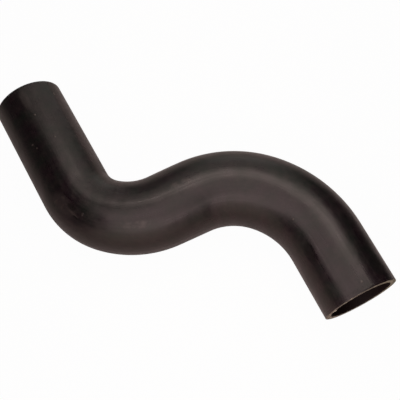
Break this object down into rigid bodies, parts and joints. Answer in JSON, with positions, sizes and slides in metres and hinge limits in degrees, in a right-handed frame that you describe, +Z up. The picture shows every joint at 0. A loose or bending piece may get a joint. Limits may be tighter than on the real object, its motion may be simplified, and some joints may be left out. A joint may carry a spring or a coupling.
{
  "type": "charge air hose",
  "caption": "Moulded rubber tube, open at both ends, that leads compressed air round two opposite bends lying in one plane; plain cuffs push over pipe stubs.",
  "frame": {"origin": "on the surface that the hose lies on, under the middle of its bounding box", "axes": "+Z up from the surface, -Y out of the outlet along the outlet cuff, X along the middle straight; the inlet cuff opens towards +Y, turned 3 degrees towards -X"},
  "size_m": [0.2272, 0.2812, 0.062],
  "materials": {
    "hose_rubber": "satin, moulded, with faint streaks along the hose"
  },
  "bodies": {
    "root": {"hose": "hose_rubber"}
  },
  "joints": []
}
